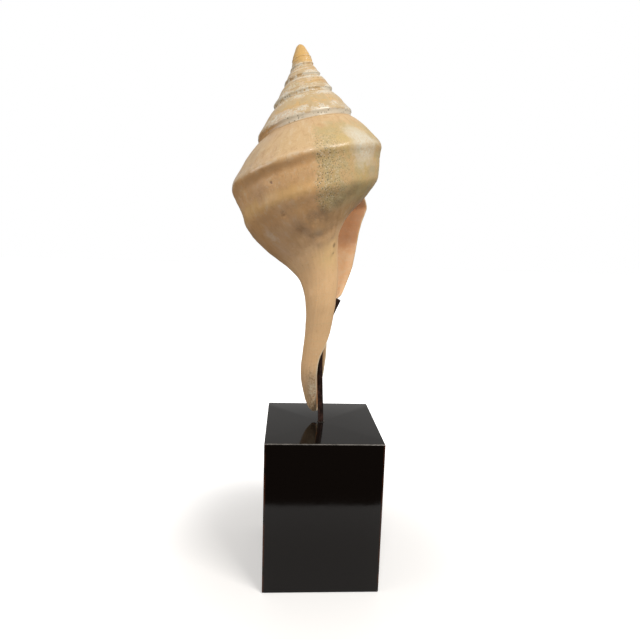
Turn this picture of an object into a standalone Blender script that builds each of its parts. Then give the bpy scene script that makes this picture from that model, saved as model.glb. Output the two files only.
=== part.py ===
"""An Australian trumpet shell held by a bent rod that stands in a lacquered block.

The shell is one closed solid. Its growth line is turned about the shell's axis while it widens
and drops by a fixed ratio each turn, so every whorl repeats the one before it. Below the body
whorl the rows pass over into rings about the canal's own bent centre line. The same rows go on
round the lip and back inside, which makes the mouth, the hollow behind it and the open canal.

Units are metres, +Z is up, the block's front looks along -Y, and the origin is the centre of the
block's bottom face.
"""

import math
from typing import NamedTuple

import bmesh
import bpy
from mathutils import Vector

MM = 0.001

# Block and rod
BLOCK_WIDTH = 114.3 * MM
BLOCK_DEPTH = 127.0 * MM
BLOCK_HEIGHT = 152.4 * MM
BLOCK_EDGE = 1.2 * MM
BLOCK_EDGE_STEPS = 2
ROD_RADIUS = 2.9 * MM
ROD_SIDES = 16
ROD_SINK = 40.0 * MM
HOLE_CLEARANCE = 0.3 * MM
ROD_FOOT = Vector((-0.8, 0.0, 0.0)) * MM
ROD_ROUTE = (
    (-0.8, 0.0, 154.0),
    (-2.4, 0.0, 187.0),
    (-3.6, 0.0, 215.0),
    (-3.4, -0.5, 226.0),
    (-1.9, -1.6, 238.0),
    (0.8, -2.3, 250.0),
    (4.2, -2.8, 262.0),
    (8.6, -3.3, 273.0),
    (12.8, -3.8, 282.5),
)

# Placing of the shell: its apex, and how its axis leans on the way down
APEX = Vector((-31.9, 10.0, 526.3)) * MM
LEAN_RIGHT = math.radians(8.6)
LEAN_FRONT = math.radians(4.95)

# Growth of the whorls
WIDEN_PER_TURN = 1.618
DROP_PER_TURN = 1.523
LIP_AZIMUTH = math.radians(57.0)
LIP_SPREAD = math.radians(100.0)
INNER_HOLD = math.radians(45.0)
INNER_SPREAD = math.radians(150.0)
SPIRE_TURNS = 7
SUTURE_STATION = 4
NECK_STATION = 12

# Rounded first whorls
APEX_RADIUS = 2.8 * MM
APEX_SLOPE = 0.47
SMOOTH_DROP = 12.0 * MM

# Walls
WALL = 3.0 * MM
LIP_ROUND = 0.8 * MM
INNER_SHRINK = 0.45
INNER_SHRINK_OVER = math.radians(60.0)
CEILING_PLACE = 0.8
CEILING_BLEND_OVER = math.radians(40.0)

# Shading
SHARP_FROM = math.radians(40.0)

# Mesh counts
COLUMNS = 42
WALL_SHARE = 0.45
NORMAL_STEP = 0.02
MERGE_DISTANCE = 0.002 * MM
STEPS_PER_STATION = (2, 2, 2, 1, 1, 1, 1, 1, 2, 2, 1, 2, 2, 1, 2, 1, 1, 1, 1, 1, 1)


class Finish(NamedTuple):
    """A plain colour with its gloss."""

    name: str
    colour: tuple
    roughness: float
    metallic: float


SHELL_FINISH = Finish("peach shell", (0.78, 0.52, 0.34), 0.4, 0.0)
ROD_FINISH = Finish("dark bronze", (0.03, 0.022, 0.018), 0.45, 0.9)
BLOCK_FINISH = Finish("black lacquer", (0.006, 0.005, 0.005), 0.12, 0.0)


class Station(NamedTuple):
    """One named level of the growth line, from the suture down to the canal's tip.

    radius and drop give the growth line at azimuth zero, in mm from the apex along the axis.
    inner_edge and outer_edge are the azimuths of the mouth's two edges and depth is how far back
    the hollow reaches, in degrees. ring_share is how far the level has gone over from whorl to
    ring, lip_share what the lip adds to it, and inner_pull how much the whorl narrows towards the
    mouth's inner edge. ring_* give the canal's section and slot_* its groove, in mm.
    """

    radius: float
    drop: float
    inner_edge: float = 57.0
    outer_edge: float = 57.0
    depth: float = 270.0
    ring_share: float = 0.0
    lip_share: float = 0.0
    inner_pull: float = 0.0
    ring_x: float = 0.0
    ring_y: float = -9.0
    ring_z: float = 350.0
    ring_radius: float = 26.0
    slot_share: float = 0.0
    slot_half_width: float = 4.2
    slot_bottom: float = -3.0


SUTURE = Station(63.4, 112.0, 57, 54.5)
STATIONS = (
    Station(SUTURE.radius / WIDEN_PER_TURN, SUTURE.drop / DROP_PER_TURN),
    Station(49.2, 82.6, 57, 53),
    Station(57.8, 93.5, 57, 52),
    Station(65.0, 104.8, 57, 53),
    SUTURE,
    Station(61.4, 118.0, 57, 56.5),
    Station(59.3, 127.0, 57, 59),
    Station(57.3, 136.0, 57, 61, 268),
    Station(52.3, 144.0, 52, 61.5, 260, 0.0, 0.0, 0.04),
    Station(43.8, 154.5, 44, 62, 240, 0.0, 0.0, 0.12, 0.0, -9.0, 335.0, 24.0),
    Station(32.0, 167.0, 34, 62, 205, 0.05, 0.06, 0.34, -1.0, -9.0, 322.0, 21.0),
    Station(24.3, 178.5, 24, 60, 160, 0.16, 0.16, 0.38, -2.4, -9.0, 309.0, 19.0),
    Station(20.8, 192.0, 12, 53, 125, 0.36, 0.33, 0.30, -3.8, -8.5, 293.0, 17.8, 0.15),
    Station(19.6, 206.0, 2, 45, 100, 0.62, 0.34, 0.16, -5.2, -7.5, 276.0, 16.2, 0.55),
    Station(18.5, 220.0, -5, 39, 85, 0.88, 0.12, 0.06, -6.2, -5.5, 259.0, 14.2, 0.90),
    Station(18.0, 233.0, -36, 36, 80, 1.0, 0.0, 0.0, -7.0, -3.0, 243.0, 13.0, 1.0, 4.6, -4.0),
    Station(18.0, 245.0, -70, 24, 80, 1.0, 0.0, 0.0, -8.6, 1.0, 224.0, 13.0, 1.0, 4.8, -4.0),
    Station(18.0, 256.0, -76, 26, 80, 1.0, 0.0, 0.0, -9.8, 4.5, 207.0, 13.2, 1.0, 4.8, -4.0),
    Station(18.0, 268.0, -73, 32, 80, 1.0, 0.0, 0.0, -9.7, 8.0, 190.0, 11.7, 1.0, 4.8, -3.0),
    Station(18.0, 278.0, -70, 20, 80, 1.0, 0.0, 0.0, -8.5, 11.0, 174.0, 8.8, 1.0, 3.8, -1.2),
    Station(18.0, 284.0, -66, 10, 80, 1.0, 0.0, 0.0, -7.4, 12.8, 164.0, 5.6, 1.0, 2.4, -0.6),
    Station(18.0, 288.0, -72, 0, 80, 1.0, 0.0, 0.0, -6.8, 13.8, 159.6, 2.9, 1.0, 1.3, -0.4),
)


def axis_frame():
    """Return the axis's way down and the two directions across it, right and back."""
    right, front = math.sin(LEAN_RIGHT), math.sin(LEAN_FRONT)
    down = Vector((right, -front, -math.sqrt(1.0 - right * right - front * front)))
    across = (Vector((1.0, 0.0, 0.0)) - down * down.x).normalized()
    back = down.cross(across)
    if back.y < 0.0:
        back.negate()
    return down, across, back


DOWN, ACROSS, BACK = axis_frame()


def level(name, place):
    """Return a station value at a place between two stations, on a smooth curve."""
    last = len(STATIONS) - 1
    place = min(max(place, 0.0), float(last))
    low = min(int(place), last - 1)
    part = place - low
    before, start, end, after = (
        getattr(STATIONS[min(max(low + step, 0), last)], name) for step in (-1, 0, 1, 2)
    )
    leave, arrive = (end - before) / 2.0, (after - start) / 2.0
    square, cube = part * part, part * part * part
    return (
        start * (2.0 * cube - 3.0 * square + 1.0)
        + leave * (cube - 2.0 * square + part)
        + end * (3.0 * square - 2.0 * cube)
        + arrive * (cube - square)
    )


def ease(value):
    """Return a value between 0 and 1 with soft ends."""
    value = min(max(value, 0.0), 1.0)
    return value * value * (3.0 - 2.0 * value)


def mix(start, end, share):
    """Return the point or number at a share of the way from start to end."""
    return start + (end - start) * share


def ring_point(place, azimuth, reach=1.0):
    """Return a point on the canal's outer ring, or at a share of its radius."""
    radius = level("ring_radius", place) * reach
    return Vector((
        level("ring_x", place) + radius * math.cos(azimuth),
        level("ring_y", place) + radius * math.sin(azimuth),
        level("ring_z", place),
    )) * MM


def whorl_point(place, azimuth, reach=1.0):
    """Return a point of the growth line turned to an azimuth, which falls as the shell grows."""
    turns = -azimuth / (2.0 * math.pi)
    radius = level("radius", place) * WIDEN_PER_TURN ** turns * reach * MM
    drop = level("drop", place) * DROP_PER_TURN ** turns * MM
    first_whorls = APEX_RADIUS * math.sqrt(min(drop / APEX_RADIUS, 1.0)) + APEX_SLOPE * drop
    radius = mix(first_whorls, radius, ease((drop - SMOOTH_DROP) / SMOOTH_DROP))
    outward = ACROSS * math.cos(azimuth) + BACK * math.sin(azimuth)
    return APEX + DOWN * drop + outward * radius


def surface_point(place, azimuth, reach=1.0):
    """Return a point of the shell's outer surface."""
    inner = math.radians(level("inner_edge", place))
    outer = math.radians(level("outer_edge", place))
    from_inner = ease((INNER_SPREAD - inner + azimuth) / (INNER_SPREAD - INNER_HOLD))
    from_lip = ease(1.0 - (azimuth - outer + 2.0 * math.pi) / LIP_SPREAD)
    share = level("ring_share", place) + level("lip_share", place) * from_lip
    reach *= 1.0 - level("inner_pull", place) * from_inner
    return mix(whorl_point(place, azimuth, reach), ring_point(place, azimuth, reach), share)


def surface_normal(place, azimuth):
    """Return the outward normal of the shell's outer surface."""
    above = surface_point(max(place - NORMAL_STEP, 0.0), azimuth)
    below = surface_point(place + NORMAL_STEP, azimuth)
    ahead = surface_point(place, azimuth - NORMAL_STEP)
    behind = surface_point(place, azimuth + NORMAL_STEP)
    return (below - above).cross(behind - ahead).normalized()


def outer_columns(place):
    """Return the azimuth of the inner edge and the angle from there to the lip."""
    inner = math.radians(level("inner_edge", place))
    gap = math.radians(level("outer_edge", place)) - inner
    return inner, 2.0 * math.pi - gap


def outer_point(place, column):
    """Return a point of the outside, with column 0 at the inner edge and the last at the lip."""
    inner, sweep = outer_columns(place)
    return surface_point(place, inner - sweep * column / COLUMNS)


def deep_level(place, edge_place, ceiling, back):
    """Return the level that a level of the mouth's edge goes over to, deeper in the hollow."""
    if place > NECK_STATION:
        return place
    deep_place = mix(ceiling, NECK_STATION, place / NECK_STATION)
    return mix(edge_place, deep_place, ease(back / CEILING_BLEND_OVER))


def hollow_point(place, share):
    """Return a point of the hollow in the whorl, with share 0 at the lip and 1 at the inner edge."""
    inner, sweep = outer_columns(place)
    depth = math.radians(level("depth", place))
    shrink = INNER_SHRINK * level("ring_share", place)

    def under_wall(back):
        azimuth = inner - sweep + back
        if place == 0.0:
            return on_whorl_within(back)
        deep = deep_level(place, place, CEILING_PLACE, back)
        return surface_point(deep, azimuth) - surface_normal(deep, azimuth) * WALL

    def on_whorl_within(back):
        edge_place = max(place, float(SUTURE_STATION))
        deep = deep_level(place, edge_place, SUTURE_STATION + CEILING_PLACE, back)
        reach = 1.0 - shrink * ease(back / INNER_SHRINK_OVER)
        return surface_point(deep, inner + back, reach)

    if share <= WALL_SHARE:
        return under_wall(depth * share / WALL_SHARE)
    if share >= 1.0 - WALL_SHARE:
        return on_whorl_within(depth * (1.0 - share) / WALL_SHARE)
    across = (share - WALL_SHARE) / (1.0 - 2.0 * WALL_SHARE)
    return mix(under_wall(depth), on_whorl_within(depth), across)


def rod_at(height):
    """Return the point of the rod's centre line at a height, in mm."""
    for low, high in zip(ROD_ROUTE, ROD_ROUTE[1:]):
        if low[2] <= height <= high[2]:
            return Vector(low).lerp(Vector(high), (height - low[2]) / (high[2] - low[2]))
    end = ROD_ROUTE[0] if height < ROD_ROUTE[0][2] else ROD_ROUTE[-1]
    return Vector((end[0], end[1], height))


def slot_point(place, share):
    """Return a point of the canal's groove, with share 0 at the lip and 1 at the inner edge."""
    half_width = level("slot_half_width", place)
    bottom = level("slot_bottom", place)
    centre = Vector([level(name, place) for name in ("ring_x", "ring_y", "ring_z")])
    ahead = (rod_at(centre.z) - centre).normalized()
    sideways = Vector((-ahead.y, ahead.x, 0.0))

    def in_ring(along, across):
        return (centre + ahead * along + sideways * across) * MM

    if share <= WALL_SHARE:
        return mix(hollow_point(place, 0.0), in_ring(bottom, half_width), share / WALL_SHARE)
    if share >= 1.0 - WALL_SHARE:
        back = (1.0 - share) / WALL_SHARE
        return mix(hollow_point(place, 1.0), in_ring(bottom, -half_width), back)
    turn = math.pi * (share - WALL_SHARE) / (1.0 - 2.0 * WALL_SHARE)
    return in_ring(bottom - half_width * math.sin(turn), half_width * math.cos(turn))


def inside_point(place, column):
    """Return a point of the inside, with column 0 at the lip and the last at the inner edge."""
    share = column / COLUMNS
    return mix(hollow_point(place, share), slot_point(place, share), level("slot_share", place))


def level_places():
    """Return the places of all rows of the mesh, from the suture to the canal's tip."""
    places = [0.0]
    for station, steps in enumerate(STEPS_PER_STATION):
        places += [station + (step + 1) / steps for step in range(steps)]
    return places


def add_rows(mesh, rows):
    """Add a grid of points to a mesh, row by row, with a face between each four neighbours."""
    grid = [[mesh.verts.new(point) for point in row] for row in rows]
    for upper, lower in zip(grid, grid[1:]):
        for column in range(len(upper) - 1):
            corners = (upper[column], upper[column + 1], lower[column + 1], lower[column])
            mesh.faces.new(corners)
    return grid


def build_shell_mesh():
    """Return the shell as one closed mesh."""
    mesh = bmesh.new()
    places = level_places()
    suture_row = places.index(float(SUTURE_STATION))
    columns = range(COLUMNS + 1)

    for turn in range(SPIRE_TURNS, 0, -1):
        add_rows(mesh, [
            [
                surface_point(place, LIP_AZIMUTH + 2.0 * math.pi * (turn - column / COLUMNS))
                for column in columns
            ]
            for place in places[: suture_row + 1]
        ])

    rows = []
    for place in places:
        outside = [outer_point(place, column) for column in columns]
        inside = [inside_point(place, column) for column in columns]
        if place <= SUTURE_STATION:
            inside[-1] = outer_point(float(SUTURE_STATION), 0)
        if place == 0.0:
            inside[0] = outside[-1]
            rounded = outside[-1]
        else:
            ahead = (outside[-1] - outside[-2]).normalized()
            rounded = (outside[-1] + inside[0]) / 2.0 + ahead * LIP_ROUND
        rows.append(outside + [rounded] + inside)
    grid = add_rows(mesh, rows)

    tip = grid[-1]
    last = len(tip) - 1
    for column in range(COLUMNS):
        mesh.faces.new((tip[column], tip[column + 1], tip[last - column - 1], tip[last - column]))
    mesh.faces.new((tip[COLUMNS], tip[COLUMNS + 1], tip[COLUMNS + 2]))

    bmesh.ops.remove_doubles(mesh, verts=mesh.verts, dist=MERGE_DISTANCE)
    rim = [edge for edge in mesh.edges if edge.is_boundary]
    return mesh, rim


def close_apex(mesh, rim):
    """Close the small opening at the top of the spire with a fan of faces to the apex."""
    cap = bmesh.ops.contextual_create(mesh, geom=rim)["faces"]
    centre = bmesh.ops.poke(mesh, faces=cap)["verts"]
    for vert in centre:
        vert.co = APEX


def make_material(finish):
    """Make a plain material from a finish."""
    material = bpy.data.materials.new(finish.name)
    material.use_nodes = True
    shader = material.node_tree.nodes["Principled BSDF"]
    shader.inputs["Base Color"].default_value = (*finish.colour, 1.0)
    shader.inputs["Roughness"].default_value = finish.roughness
    shader.inputs["Metallic"].default_value = finish.metallic
    return material


def add_object(name, mesh, finish):
    """Make a named object from a mesh, shaded smooth except at sharp edges."""
    data = bpy.data.meshes.new(name)
    mesh.to_mesh(data)
    mesh.free()
    data.materials.append(make_material(finish))
    data.shade_smooth()
    data.set_sharp_from_angle(angle=SHARP_FROM)
    result = bpy.data.objects.new(name, data)
    bpy.context.collection.objects.link(result)
    return result


def build_shell():
    """Make the shell."""
    mesh, rim = build_shell_mesh()
    close_apex(mesh, rim)
    bmesh.ops.recalc_face_normals(mesh, faces=mesh.faces)
    bmesh.ops.triangulate(mesh, faces=mesh.faces)
    add_object("shell", mesh, SHELL_FINISH)


def rod_points():
    """Return the points of the rod's centre line, from its foot in the block to its bent end."""
    foot = ROD_FOOT + Vector((0.0, 0.0, BLOCK_HEIGHT - ROD_SINK))
    return [foot] + [Vector(point) * MM for point in ROD_ROUTE]


def build_rod():
    """Make the rod as a round bar swept along its centre line."""
    points = rod_points()
    mesh = bmesh.new()
    bmesh.ops.create_circle(mesh, cap_ends=True, segments=ROD_SIDES, radius=ROD_RADIUS)
    bmesh.ops.translate(mesh, verts=mesh.verts, vec=points[0])
    rim = mesh.edges[:]
    heading = Vector((0.0, 0.0, 1.0))
    for number in range(1, len(points)):
        following = points[min(number + 1, len(points) - 1)]
        new_heading = (following - points[number - 1]).normalized()
        grown = bmesh.ops.extrude_edge_only(mesh, edges=rim)["geom"]
        verts = [item for item in grown if isinstance(item, bmesh.types.BMVert)]
        rim = [item for item in grown if isinstance(item, bmesh.types.BMEdge)]
        turn = heading.rotation_difference(new_heading).to_matrix()
        bmesh.ops.translate(mesh, verts=verts, vec=points[number] - points[number - 1])
        bmesh.ops.rotate(mesh, verts=verts, cent=points[number], matrix=turn)
        heading = new_heading
        rim = [edge for edge in rim if edge.is_boundary]
    bmesh.ops.contextual_create(mesh, geom=rim)
    bmesh.ops.recalc_face_normals(mesh, faces=mesh.faces)
    add_object("rod", mesh, ROD_FINISH)


def build_block():
    """Make the block with softened edges and a blind hole for the rod."""
    mesh = bmesh.new()
    bmesh.ops.create_cube(mesh, size=1.0)
    bmesh.ops.scale(mesh, verts=mesh.verts, vec=(BLOCK_WIDTH, BLOCK_DEPTH, BLOCK_HEIGHT))
    bmesh.ops.translate(mesh, verts=mesh.verts, vec=(0.0, 0.0, BLOCK_HEIGHT / 2.0))
    bmesh.ops.bevel(
        mesh,
        geom=mesh.edges,
        offset=BLOCK_EDGE,
        segments=BLOCK_EDGE_STEPS,
        profile=0.5,
        affect="EDGES",
        material=-1,
    )
    block = add_object("block", mesh, BLOCK_FINISH)

    drill = bmesh.new()
    depth = ROD_SINK + HOLE_CLEARANCE
    bmesh.ops.create_cone(
        drill,
        cap_ends=True,
        segments=ROD_SIDES,
        radius1=ROD_RADIUS + HOLE_CLEARANCE,
        radius2=ROD_RADIUS + HOLE_CLEARANCE,
        depth=depth * 2.0,
    )
    bmesh.ops.translate(drill, verts=drill.verts, vec=ROD_FOOT + Vector((0.0, 0.0, BLOCK_HEIGHT)))
    hole = add_object("hole_cutter", drill, BLOCK_FINISH)
    hole.hide_render = True
    hole.display_type = "WIRE"
    cut = block.modifiers.new("rod hole", "BOOLEAN")
    cut.operation = "DIFFERENCE"
    cut.object = hole


def main():
    """Clear the scene and build the three pieces."""
    for old in list(bpy.data.objects):
        bpy.data.objects.remove(old)
    build_block()
    build_rod()
    build_shell()


main()
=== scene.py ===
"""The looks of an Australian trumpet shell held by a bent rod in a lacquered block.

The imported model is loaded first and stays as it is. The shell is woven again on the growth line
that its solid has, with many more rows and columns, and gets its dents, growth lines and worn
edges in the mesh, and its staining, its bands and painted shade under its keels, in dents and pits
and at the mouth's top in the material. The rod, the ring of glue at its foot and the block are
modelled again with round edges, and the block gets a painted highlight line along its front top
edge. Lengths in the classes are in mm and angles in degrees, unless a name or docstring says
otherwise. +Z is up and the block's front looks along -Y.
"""

import logging
import math
from dataclasses import dataclass, field
from enum import Enum
from typing import Any, Dict, List, Optional, Sequence, Tuple, Union

import bmesh
import bpy
import numpy as np
from mathutils import Matrix, Quaternion, Vector, noise


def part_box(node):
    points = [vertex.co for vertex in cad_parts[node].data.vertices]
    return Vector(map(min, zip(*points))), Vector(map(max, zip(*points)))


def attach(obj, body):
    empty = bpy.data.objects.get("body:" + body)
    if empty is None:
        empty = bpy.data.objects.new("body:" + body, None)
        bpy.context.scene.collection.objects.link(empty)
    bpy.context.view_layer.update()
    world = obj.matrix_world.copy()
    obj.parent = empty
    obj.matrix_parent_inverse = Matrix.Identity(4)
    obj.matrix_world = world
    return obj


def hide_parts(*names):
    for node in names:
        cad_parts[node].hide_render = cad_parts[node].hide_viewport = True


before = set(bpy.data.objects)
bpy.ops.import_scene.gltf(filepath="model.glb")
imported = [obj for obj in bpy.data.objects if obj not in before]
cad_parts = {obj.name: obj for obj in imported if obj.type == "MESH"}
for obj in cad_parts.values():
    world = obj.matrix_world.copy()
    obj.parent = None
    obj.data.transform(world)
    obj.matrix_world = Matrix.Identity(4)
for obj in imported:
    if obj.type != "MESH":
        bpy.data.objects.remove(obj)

LOG = logging.getLogger("trumpet_shell")
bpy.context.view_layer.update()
MM = 0.001
TINY = 1e-9
BODY = "root"

Colour = Tuple[float, float, float]
Point = Tuple[float, float, float]
Array = np.ndarray
Looks = Dict[str, Array]


def smooth(value: Array) -> Array:
    """Return values held between 0 and 1, with soft ends."""
    value = np.clip(value, 0.0, 1.0)
    return value * value * (3.0 - 2.0 * value)


def between(start: Any, end: Any, share: Any) -> Any:
    """Return the point or number at a share of the way from start to end."""
    return start + (end - start) * share


def fade(value: Array, over: float) -> Array:
    """Return 0 well below a value of 0 and 1 well above it, with a soft change over a width."""
    return smooth(value / over + 0.5)


def unit(vectors: Array) -> Array:
    """Return vectors brought to a length of 1."""
    return vectors / np.maximum(np.linalg.norm(vectors, axis=-1, keepdims=True), TINY)


def curve(start: Any, end: Any, leave: Any, arrive: Any, part: Any) -> Any:
    """Return a point or number on the smooth curve between two others.

    Args:
        start: Where the curve starts.
        end: Where it ends.
        leave: How fast it leaves its start, per span.
        arrive: How fast it reaches its end, per span.
        part: The share of the span.

    Returns:
        The point or number.
    """
    square, cube = part * part, part**3
    return (
        start * (2.0 * cube - 3.0 * square + 1.0)
        + leave * (cube - 2.0 * square + part)
        + end * (3.0 * square - 2.0 * cube)
        + arrive * (cube - square)
    )


class Maths(str, Enum):
    """The operations that a Math node does here."""

    ADD = "ADD"
    SUBTRACT = "SUBTRACT"
    MULTIPLY = "MULTIPLY"
    ABSOLUTE = "ABSOLUTE"


class Wire:
    """One output socket of a node tree, with arithmetic that adds Math nodes."""

    def __init__(self, nodes: "Nodes", socket: bpy.types.NodeSocket) -> None:
        """Wrap a socket.

        Args:
            nodes: The node tree that the socket is in.
            socket: The output socket.
        """
        self.nodes = nodes
        self.socket = socket

    def maths(self, operation: Maths, first: Any, second: Any = 0.0) -> "Wire":
        """Return the result of a Math node.

        Args:
            operation: What the node does.
            first: A wire or a number.
            second: A wire or a number.

        Returns:
            The node's result.
        """
        return self.nodes.node("ShaderNodeMath", {"operation": operation.value}, {0: first, 1: second})

    def __add__(self, other: Any) -> "Wire":
        """Return the sum."""
        return self.maths(Maths.ADD, self, other)

    def __sub__(self, other: Any) -> "Wire":
        """Return the difference."""
        return self.maths(Maths.SUBTRACT, self, other)

    def __rsub__(self, other: Any) -> "Wire":
        """Return a number less this."""
        return self.maths(Maths.SUBTRACT, other, self)

    def __mul__(self, other: Any) -> "Wire":
        """Return the product."""
        return self.maths(Maths.MULTIPLY, self, other)

    def __abs__(self) -> "Wire":
        """Return the size without its sign."""
        return self.maths(Maths.ABSOLUTE, self)

    __radd__ = __add__
    __rmul__ = __mul__


class Nodes:
    """The node tree of a material or world under construction."""

    def __init__(self, owner: Union[bpy.types.Material, bpy.types.World]) -> None:
        """Open the node tree.

        Args:
            owner: The material or world.
        """
        owner.use_nodes = True
        self.tree = owner.node_tree

    def node(
        self,
        kind: str,
        settings: Optional[Dict[str, Any]] = None,
        inputs: Optional[Dict[Union[str, int], Any]] = None,
        output: Union[str, int] = 0,
    ) -> Wire:
        """Add a node.

        Args:
            kind: The node's type.
            settings: Its properties, which are set first.
            inputs: What goes into its sockets, by name or number: a wire, a number or a colour.
            output: Which output to return, by name or number.

        Returns:
            The chosen output.
        """
        made = self.tree.nodes.new(kind)
        for key, value in (settings or {}).items():
            setattr(made, key, value)
        for key, value in (inputs or {}).items():
            self.join(made.inputs[key], value)
        return Wire(self, made.outputs[output])

    def join(self, socket: bpy.types.NodeSocket, value: Any) -> None:
        """Link a wire to an input socket, or set the socket to a number or colour."""
        if isinstance(value, Wire):
            self.tree.links.new(value.socket, socket)
        elif socket.type == "RGBA":
            socket.default_value = (*value, 1.0)
        else:
            socket.default_value = value

    def parts(self, where: Wire) -> List[Wire]:
        """Return the three coordinates of a place."""
        split = self.node("ShaderNodeSeparateXYZ", {}, {0: where}).socket.node
        return [Wire(self, output) for output in split.outputs]


class Paint(Nodes):
    """A material under construction, with its Principled shader and its place in mm."""

    def __init__(self, name: str) -> None:
        """Make an empty material.

        Args:
            name: The finish's name.
        """
        self.material = bpy.data.materials.new(name)
        super().__init__(self.material)
        self.shader = self.tree.nodes["Principled BSDF"]
        self.where = self.scaled(self.node("ShaderNodeTexCoord", output="Object"), (1.0 / MM,) * 3)

    def finish(self, **inputs: Any) -> bpy.types.Material:
        """Set the shader's sockets and return the material.

        Args:
            inputs: Socket names, with underscores for spaces, and what goes into them.

        Returns:
            The material.
        """
        for key, value in inputs.items():
            self.join(self.shader.inputs[key.replace("_", " ")], value)
        return self.material

    def mix(self, share: Any, under: Any, over: Any) -> Wire:
        """Return a colour between two, under where share is 0 and over where it is 1."""
        settings = {"data_type": "RGBA", "clamp_factor": True}
        return self.node("ShaderNodeMix", settings, {0: share, 6: under, 7: over}, 2)

    def scaled(self, where: Wire, factor: Point) -> Wire:
        """Return a place with each coordinate multiplied."""
        return self.node("ShaderNodeMapping", {"vector_type": "POINT"}, {"Vector": where, "Scale": factor})

    def noise(self, where: Wire, scale: float, detail: float = 3.0, rough: float = 0.5) -> Wire:
        """Return a soft noise around 0.5.

        Args:
            where: The place that is read.
            scale: Waves per unit of the place.
            detail: How many finer layers are added.
            rough: How strong the finer layers are.

        Returns:
            The noise's value.
        """
        inputs = {"Vector": where, "Scale": scale, "Detail": detail, "Roughness": rough}
        return self.node("ShaderNodeTexNoise", {"noise_dimensions": "3D"}, inputs)

    def cells(self, where: Wire, scale: float) -> Wire:
        """Return the distance to the nearest of many scattered points."""
        return self.node("ShaderNodeTexVoronoi", {"feature": "F1"}, {"Vector": where, "Scale": scale})

    def step(self, value: Wire, low: float, high: float) -> Wire:
        """Return 0 up to low and 1 from high on, with a soft change, or the reverse if high is less."""
        return self.node(
            "ShaderNodeMapRange",
            {"interpolation_type": "SMOOTHSTEP", "clamp": True},
            {"Value": value, "From Min": low, "From Max": high, "To Min": 0.0, "To Max": 1.0},
        )

    def window(self, value: Wire, start: float, end: float, soft: float) -> Wire:
        """Return 1 between start and end and 0 outside, with soft changes."""
        half = soft / 2.0
        return self.step(value, start - half, start + half) * self.step(value, end + half, end - half)

    def near(self, centre: Point, reach: float, soft: float, wobble: Any = 0.0) -> Wire:
        """Return 1 within a ball and 0 outside it.

        Args:
            centre: The ball's centre, in mm.
            reach: Its radius, in mm.
            soft: How wide the change is, in mm.
            wobble: What is added to the distance, in mm.

        Returns:
            The mask.
        """
        ends = {0: self.where, 1: centre}
        away = self.node("ShaderNodeVectorMath", {"operation": "DISTANCE"}, ends, "Value")
        return self.step(away + wobble, reach + soft / 2.0, reach - soft / 2.0)

    def bump(self, height: Wire, depth: float, over: Any = None) -> Wire:
        """Return a normal bent by a height.

        Args:
            height: The height, around 0 to 1.
            depth: What a height of 1 stands for, in mm.
            over: A normal that is bent already.

        Returns:
            The bent normal.
        """
        inputs = {"Height": height, "Distance": depth * MM, "Strength": 1.0}
        if over is not None:
            inputs["Normal"] = over
        return self.node("ShaderNodeBump", {}, inputs)


@dataclass(frozen=True)
class Station:
    """One named level of the growth line, as in the solid's own source."""

    radius: float
    drop: float
    inner_edge: float = 57.0
    outer_edge: float = 57.0
    depth: float = 270.0
    ring_share: float = 0.0
    lip_share: float = 0.0
    inner_pull: float = 0.0
    ring_x: float = 0.0
    ring_y: float = -9.0
    ring_z: float = 350.0
    ring_radius: float = 26.0
    slot_share: float = 0.0
    slot_half_width: float = 4.2
    slot_bottom: float = -3.0


WIDEN_PER_TURN = 1.618
DROP_PER_TURN = 1.523
SUTURE = Station(63.4, 112.0, 57, 54.5)
STATIONS = (
    Station(SUTURE.radius / WIDEN_PER_TURN, SUTURE.drop / DROP_PER_TURN),
    Station(49.2, 82.6, 57, 53),
    Station(57.8, 93.5, 57, 52),
    Station(65.0, 104.8, 57, 53),
    SUTURE,
    Station(61.4, 118.0, 57, 56.5),
    Station(59.3, 127.0, 57, 59),
    Station(57.3, 136.0, 57, 61, 268),
    Station(52.3, 144.0, 52, 61.5, 260, 0.0, 0.0, 0.04),
    Station(43.8, 154.5, 44, 62, 240, 0.0, 0.0, 0.12, 0.0, -9.0, 335.0, 24.0),
    Station(32.0, 167.0, 34, 62, 205, 0.05, 0.06, 0.34, -1.0, -9.0, 322.0, 21.0),
    Station(24.3, 178.5, 24, 60, 160, 0.16, 0.16, 0.38, -2.4, -9.0, 309.0, 19.0),
    Station(20.8, 192.0, 12, 53, 125, 0.36, 0.33, 0.30, -3.8, -8.5, 293.0, 17.8, 0.15),
    Station(19.6, 206.0, 2, 45, 100, 0.62, 0.34, 0.16, -5.2, -7.5, 276.0, 16.2, 0.55),
    Station(18.5, 220.0, -5, 39, 85, 0.88, 0.12, 0.06, -6.2, -5.5, 259.0, 14.2, 0.90),
    Station(18.0, 233.0, -36, 36, 80, 1.0, 0.0, 0.0, -7.0, -3.0, 243.0, 13.0, 1.0, 4.6, -4.0),
    Station(18.0, 245.0, -70, 24, 80, 1.0, 0.0, 0.0, -8.6, 1.0, 224.0, 13.0, 1.0, 4.8, -4.0),
    Station(18.0, 256.0, -76, 26, 80, 1.0, 0.0, 0.0, -9.8, 4.5, 207.0, 13.2, 1.0, 4.8, -4.0),
    Station(18.0, 268.0, -73, 32, 80, 1.0, 0.0, 0.0, -9.7, 8.0, 190.0, 11.7, 1.0, 4.8, -3.0),
    Station(18.0, 278.0, -70, 20, 80, 1.0, 0.0, 0.0, -8.5, 11.0, 174.0, 8.8, 1.0, 3.8, -1.2),
    Station(18.0, 284.0, -66, 10, 80, 1.0, 0.0, 0.0, -7.4, 12.8, 164.0, 5.6, 1.0, 2.4, -0.6),
    Station(18.0, 288.0, -72, 0, 80, 1.0, 0.0, 0.0, -6.8, 13.8, 159.6, 2.9, 1.0, 1.3, -0.4),
)


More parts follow.
